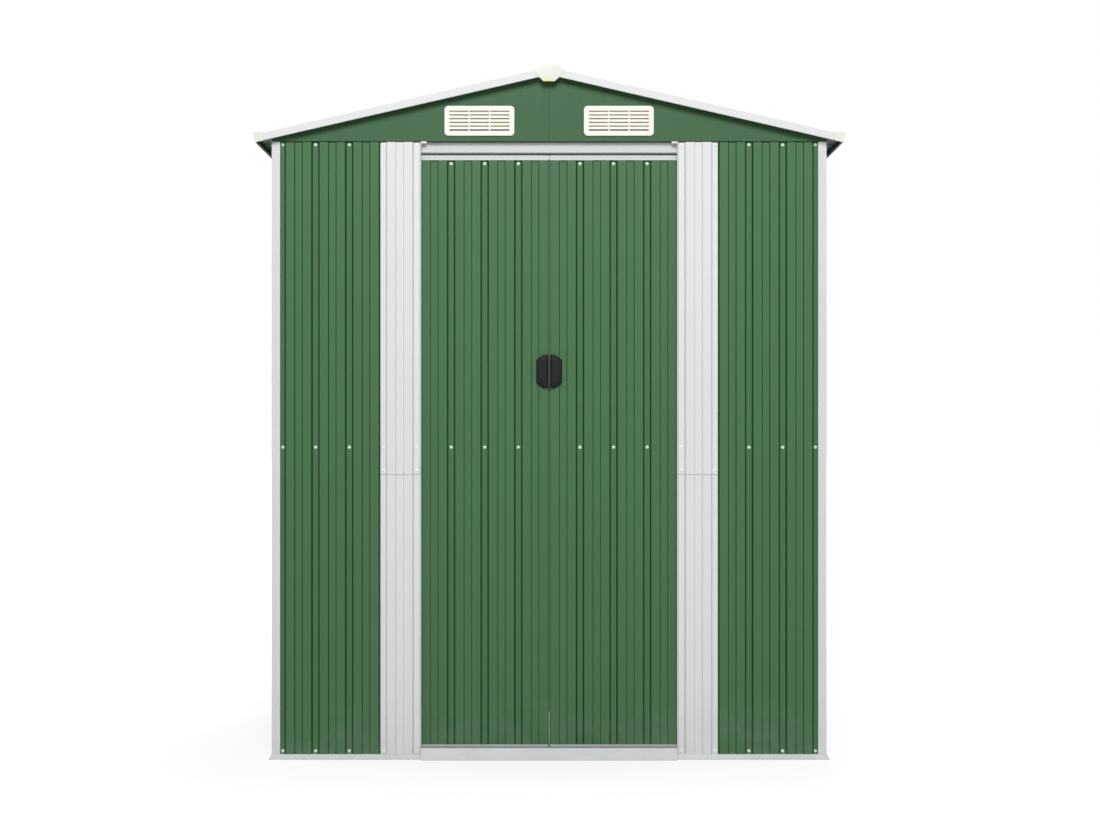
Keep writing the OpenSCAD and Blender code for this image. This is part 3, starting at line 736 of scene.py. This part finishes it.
VENT_LOW, VENT_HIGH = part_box("vents_front")
VENT_X = VENT_HIGH.x - 0.114                # middle of the right vent; a vent is 0.228 m wide
VENT_Z = (VENT_LOW.z + VENT_HIGH.z) / 2
VENT_FIELD_X, VENT_FIELD_Z = 0.101, 0.0375  # half the width and height of the field of slots
SLOT_ROWS, SLOT_ROW_STEP = 6, 0.0121
SLOT_W, SLOT_H, SLOT_STEP = 0.0618, 0.0055, 0.0665
BLADE_T = 0.0009


def outside_slots(vert):
    """Whether a point of a vent's plate lies outside the field of slots."""
    return (abs(abs(vert.co.x) - VENT_X) > VENT_FIELD_X
            or abs(vert.co.z - VENT_Z) > VENT_FIELD_Z)


def build_vents():
    """The plates, with a rounded rim and finely rounded slots."""
    for node in ("vents_front", "vents_back"):
        bm = solid_of(node)
        bm.normal_update()
        sharp = [e for e in bm.edges if len(e.link_faces) == 2 and e.calc_face_angle() > 0.4]
        rim = [e for e in sharp if any(outside_slots(v) for v in e.verts)]
        slots = [e for e in sharp if not any(outside_slots(v) for v in e.verts)]
        for edges, width in ((rim, 0.0022), (slots, 0.0006)):
            bmesh.ops.bevel(bm, geom=[e for e in edges if e.is_valid], offset=width, segments=3,
                            profile=0.5, affect="EDGES", clamp_overlap=True)
        piece(node + "_plate", bm, [CREAM], "shed", "cream_plastic", [node])


def build_louvres():
    """A sloping blade in every slot, rising inwards. The lowest row's blades lie deeper."""
    for name, y, inward in (("louvres_front", VENT_HIGH.y, 1),
                            ("louvres_back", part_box("vents_back")[LOW].y, -1)):
        bm = bmesh.new()
        for column in range(-1, 2):
            for row in range(SLOT_ROWS):
                foot = VENT_Z + (row - (SLOT_ROWS - 1) / 2) * SLOT_ROW_STEP - SLOT_H / 2
                start, reach = (-0.0024, 0.0105) if row else (0.0006, 0.009)
                blade = [(start, foot - BLADE_T), (start, foot), (start + reach, foot + reach),
                         (start + reach, foot + reach - BLADE_T)]
                for vent_x in (-VENT_X, VENT_X):
                    middle = vent_x + column * SLOT_STEP
                    ends = [[bm.verts.new((x, y + inward * depth, z)) for depth, z in blade]
                            for x in (middle - SLOT_W / 2, middle + SLOT_W / 2)]
                    bm.faces.new(ends[0])
                    bm.faces.new(list(reversed(ends[1])))
                    for i in range(4):
                        j = (i + 1) % 4
                        bm.faces.new((ends[0][i], ends[1][i], ends[1][j], ends[0][j]))
        # the blades in the darker, yellower cream, as painted shade
        piece(name, bm, [BLADE_PAINTED_SHADE], "shed", "cream_plastic")


build_vents()
build_louvres()

# ---------------------------------------------------------------- handles


HANDLE_LOW, HANDLE_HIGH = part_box("door_right_handle")
CORNER_W, CORNER_H = 0.022, 0.018           # the octagon's cut corners
CHEEK_IN, LIP_W, LIP_SHORT = 0.0060, 0.0022, 0.001
# (inset, depth) pairs, outwards from the door
FOOT_RINGS = [(0.0, 0.0), (0.0, 0.0030), (0.0008, 0.0038)]
CHEEK_RINGS = [(0.0012, 0.0034), (0.0012, 0.0090), (0.0020, 0.0118), (0.0038, 0.0134),
               (0.0155, 0.0152)]
LIP_RINGS = [(0.0, 0.0034), (0.0, 0.0148), (0.0005, 0.0156)]


def build_handle(side, hand):
    """Half of a long octagon: a thin foot, a domed cheek, and a finger lip along the inner edge."""
    low, high = HANDLE_LOW, HANDLE_HIGH

    def half_octagon(x0):
        def at(inset):
            shrink = 0.4 * inset
            right, bottom, top = high.x - inset, low.z + inset, high.z - inset
            across, up = CORNER_W - shrink, CORNER_H - shrink
            return [(x0, bottom), (right - across, bottom), (right, bottom + up),
                    (right, top - up), (right - across, top), (x0, top)]
        return at

    def lip(inset):
        left, right = low.x + inset, low.x + LIP_W - inset
        bottom, top = low.z + LIP_SHORT + inset, high.z - LIP_SHORT - inset
        return [(left, bottom), (right, bottom), (right, top), (left, top)]

    def place(x, depth, z):
        return Vector((side * x, high.y - depth, z))
    bm = bmesh.new()
    add_prism(bm, half_octagon(low.x), place, FOOT_RINGS)
    add_prism(bm, half_octagon(low.x + CHEEK_IN), place, CHEEK_RINGS)
    add_prism(bm, lip, place, LIP_RINGS)
    piece(f"handle_{hand}", bm, [CHARCOAL], f"door_{hand}", "black_plastic",
          [f"door_{hand}_handle"], smooth_below=50.0)


def build_handle_stop():
    """A grey bar on the left door, which closes the gap between the handles."""
    low, high, short = HANDLE_LOW, HANDLE_HIGH, 0.0015
    bm = bmesh.new()
    add_box(bm, (-0.0014, high.y - 0.0125, low.z + short),
            (low.x - 0.0006, high.y - 0.0004, high.z - short), 0.0004)
    piece("handle_stop", bm, [GREY], "door_left", "black_plastic")


for side, hand in SIDES:
    build_handle(side, hand)
build_handle_stop()

# ---------------------------------------------------------------- screws

# a screw's radius and height, from the top down
HEAD = [(0.0000, 0.0022), (0.0018, 0.0021), (0.0034, 0.0018), (0.0042, 0.0012),
        (0.0044, 0.0008), (0.0051, 0.0007), (0.0054, 0.0004), (0.0054, 0.0000)]
HEAD_SIDES = 14


def add_screw(bm, centre, outward):
    """A domed screw cap with a washer, standing on a face that looks outward."""
    turn = outward.to_track_quat("Z", "Y").to_matrix().to_4x4()
    spot = Matrix.Translation(centre) @ turn
    angles = [2 * math.pi * i / HEAD_SIDES for i in range(HEAD_SIDES)]
    rings = [[bm.verts.new(spot @ Vector((radius * math.cos(a), radius * math.sin(a), height)))
              for a in angles] for radius, height in HEAD[1:]]
    top = bm.verts.new(spot @ Vector((0, 0, HEAD[0][1])))
    for i in range(HEAD_SIDES):
        j = (i + 1) % HEAD_SIDES
        bm.faces.new((top, rings[0][i], rings[0][j]))
        for inner, outer in zip(rings, rings[1:]):
            bm.faces.new((inner[i], outer[i], outer[j], inner[j]))
    bm.faces.new(list(reversed(rings[-1])))


def screws(name, body, places, cap=SCREW_CAP):
    """Screws at a list of (centre, outward) pairs, as one piece."""
    bm = bmesh.new()
    for centre, outward in places:
        add_screw(bm, centre, outward)
    piece(name, bm, [cap], body, "galvanised_steel", smooth_below=40.0)


def spots(place, outward, across, along, sheet_in=0.0):
    """A grid of (centre, outward) pairs on the floors of a sheet's deep grooves."""
    return [(place(u, GROOVE_D + sheet_in, z), outward) for u in across for z in along]


def build_screws():
    """A row of screws at each rail. A few beside the doorway and the corner posts sit a little off
    the middle of their groove."""
    wall_rows = [FOOT_Z + 0.009, MID_Z, WALL_TOP - 0.008]
    upper_rows = [STRIP_JOINT + 0.013, *wall_rows[1:]]
    door_rows = [MID_Z, DOOR_TOP - 0.026]
    roof_rows = [0.075, ROOF_LENGTH / 2, ROOF_LENGTH - 0.035]
    green_x = [GROOVE_X - 2 * RIB_PITCH, GROOVE_X - RIB_PITCH, GROOVE_X - 0.003]
    strip_x = [GROOVE_X - 4 * RIB_PITCH + 0.0005, GROOVE_X - 3 * RIB_PITCH - 0.002]
    side_y = [k * RIB_PITCH for k in range(-6, 7)]
    back_x = [k * RIB_PITCH for k in range(-8, 9)]
    ahead, behind = Vector((0, -1, 0)), Vector((0, 1, 0))
    front, strips = [], []
    for side, hand in SIDES:
        sheet_at, strip_at = [side * x for x in green_x], [side * x for x in strip_x]
        front += spots(FRONT, ahead, sheet_at, wall_rows, FRONT_SHEET_IN)
        strips += spots(FRONT, ahead, strip_at, wall_rows[:1], LOWER_STRIP_IN)
        strips += spots(FRONT, ahead, strip_at, upper_rows, UPPER_STRIP_IN)
        door_at = [side * (DOOR_GROOVE_X + k * RIB_PITCH) for k in range(3)]
        screws(f"screws_door_{hand}", f"door_{hand}", spots(DOOR, ahead, door_at, door_rows))
        upward_out = Vector((side * math.sin(PITCH), 0, math.cos(PITCH)))
        screws(f"screws_roof_{hand}", "shed",
               spots(roof_place(side), upward_out, side_y, roof_rows))
        screws(f"screws_side_{hand}", "shed",
               spots(RIGHT if side > 0 else LEFT, Vector((side, 0, 0)), side_y, wall_rows))
    screws("screws_front", "shed", front)
    screws("screws_strips", "shed", strips, SCREW_WHITE)
    screws("screws_back", "shed", spots(BACK, behind, back_x, wall_rows))


build_screws()

# ---------------------------------------------------------------- floor, light and camera


def area_light(name, place, target, size, power):
    data = bpy.data.lights.new(name, "AREA")
    data.shape = "RECTANGLE"
    data.size, data.size_y = size
    data.energy = power
    lamp = bpy.data.objects.new(name, data)
    lamp.location = place
    lamp.rotation_euler = (Vector(target) - Vector(place)).to_track_quat("-Z", "Y").to_euler()
    SCENE.collection.objects.link(lamp)


def build_floor():
    """A pale floor, white to the camera outside the shed but for the soft shadows on it."""
    bm = bmesh.new()
    bmesh.ops.create_circle(bm, cap_ends=True, radius=60.0, segments=96)
    mesh = bpy.data.meshes.new("floor")
    bm.to_mesh(mesh)
    bm.free()
    n = Nodes("pale_floor")
    n.set(n.shader.inputs["Base Color"], (0.55, 0.55, 0.55, 1.0))
    n.shader.inputs["Roughness"].default_value = 0.9
    n.shader.inputs["Specular IOR Level"].default_value = 0.1
    glow = n.add("ShaderNodeEmission", {"Color": (1, 1, 1, 1), "Strength": 1.22}).outputs[0]
    seen = n.add("ShaderNodeLightPath").outputs["Is Camera Ray"]
    away = n.add("ShaderNodeVectorMath", {0: n.place}, operation="LENGTH").outputs["Value"]
    plan = n.add("ShaderNodeSeparateXYZ", {0: n.place})
    across, along = (n.math("ABSOLUTE", plan.outputs[axis]) for axis in "XY")
    outside = n.math("MAXIMUM", n.math("GREATER_THAN", across, SIDE_X),
                     n.math("GREATER_THAN", along, BACK_Y))
    fade = n.math("MULTIPLY", n.math("MULTIPLY", n.spread(away, 1.2, 4.5, 0.66, 1.0), seen),
                  outside)
    mixed = n.add("ShaderNodeMixShader", {0: fade, 1: n.shader.outputs[0], 2: glow}).outputs[0]
    n.set(n.tree.nodes["Material Output"].inputs["Surface"], mixed)
    mesh.materials.append(n.material)
    floor = bpy.data.objects.new("floor", mesh)
    SCENE.collection.objects.link(floor)


def build_world():
    """White to the camera, and a soft dim light on the shed."""
    world = bpy.data.worlds.new("studio")
    world.use_nodes = True
    SCENE.world = world
    tree = world.node_tree
    soft = tree.nodes["Background"]
    soft.inputs["Color"].default_value = (0.96, 0.98, 1.0, 1.0)
    soft.inputs["Strength"].default_value = 0.17
    seen = tree.nodes.new("ShaderNodeBackground")
    seen.inputs["Color"].default_value = (1, 1, 1, 1)
    seen.inputs["Strength"].default_value = 1.0
    path = tree.nodes.new("ShaderNodeLightPath")
    mix = tree.nodes.new("ShaderNodeMixShader")
    tree.links.new(path.outputs["Is Camera Ray"], mix.inputs[0])
    tree.links.new(soft.outputs[0], mix.inputs[1])
    tree.links.new(seen.outputs[0], mix.inputs[2])
    tree.links.new(mix.outputs[0], tree.nodes["World Output"].inputs["Surface"])


def build_camera():
    """Square on to the front, at about half its height."""
    data = bpy.data.cameras.new("camera")
    data.sensor_width = 36.0
    data.lens = 60.26
    data.shift_y = 0.0173
    camera = bpy.data.objects.new("camera", data)
    camera.location = (0.0028, FRONT_Y - 6.0, 1.069)
    camera.rotation_euler = (math.radians(90), 0, 0)
    SCENE.collection.objects.link(camera)
    SCENE.camera = camera


build_floor()
build_world()
build_camera()
area_light("key", (0.0, -7.5, 6.0), (0, 0, 0.9), (2.4, 3.2), 520.0)
area_light("side_left", (-6.5, 1.2, 3.4), (0, 0, 1.0), (2.5, 2.0), 230.0)
area_light("side_right", (6.5, 1.2, 3.4), (0, 0, 1.0), (2.5, 2.0), 230.0)
area_light("rear", (1.0, 7.5, 5.0), (0, 0, 1.0), (2.5, 1.5), 420.0)
SCENE.view_settings.view_transform = "Standard"
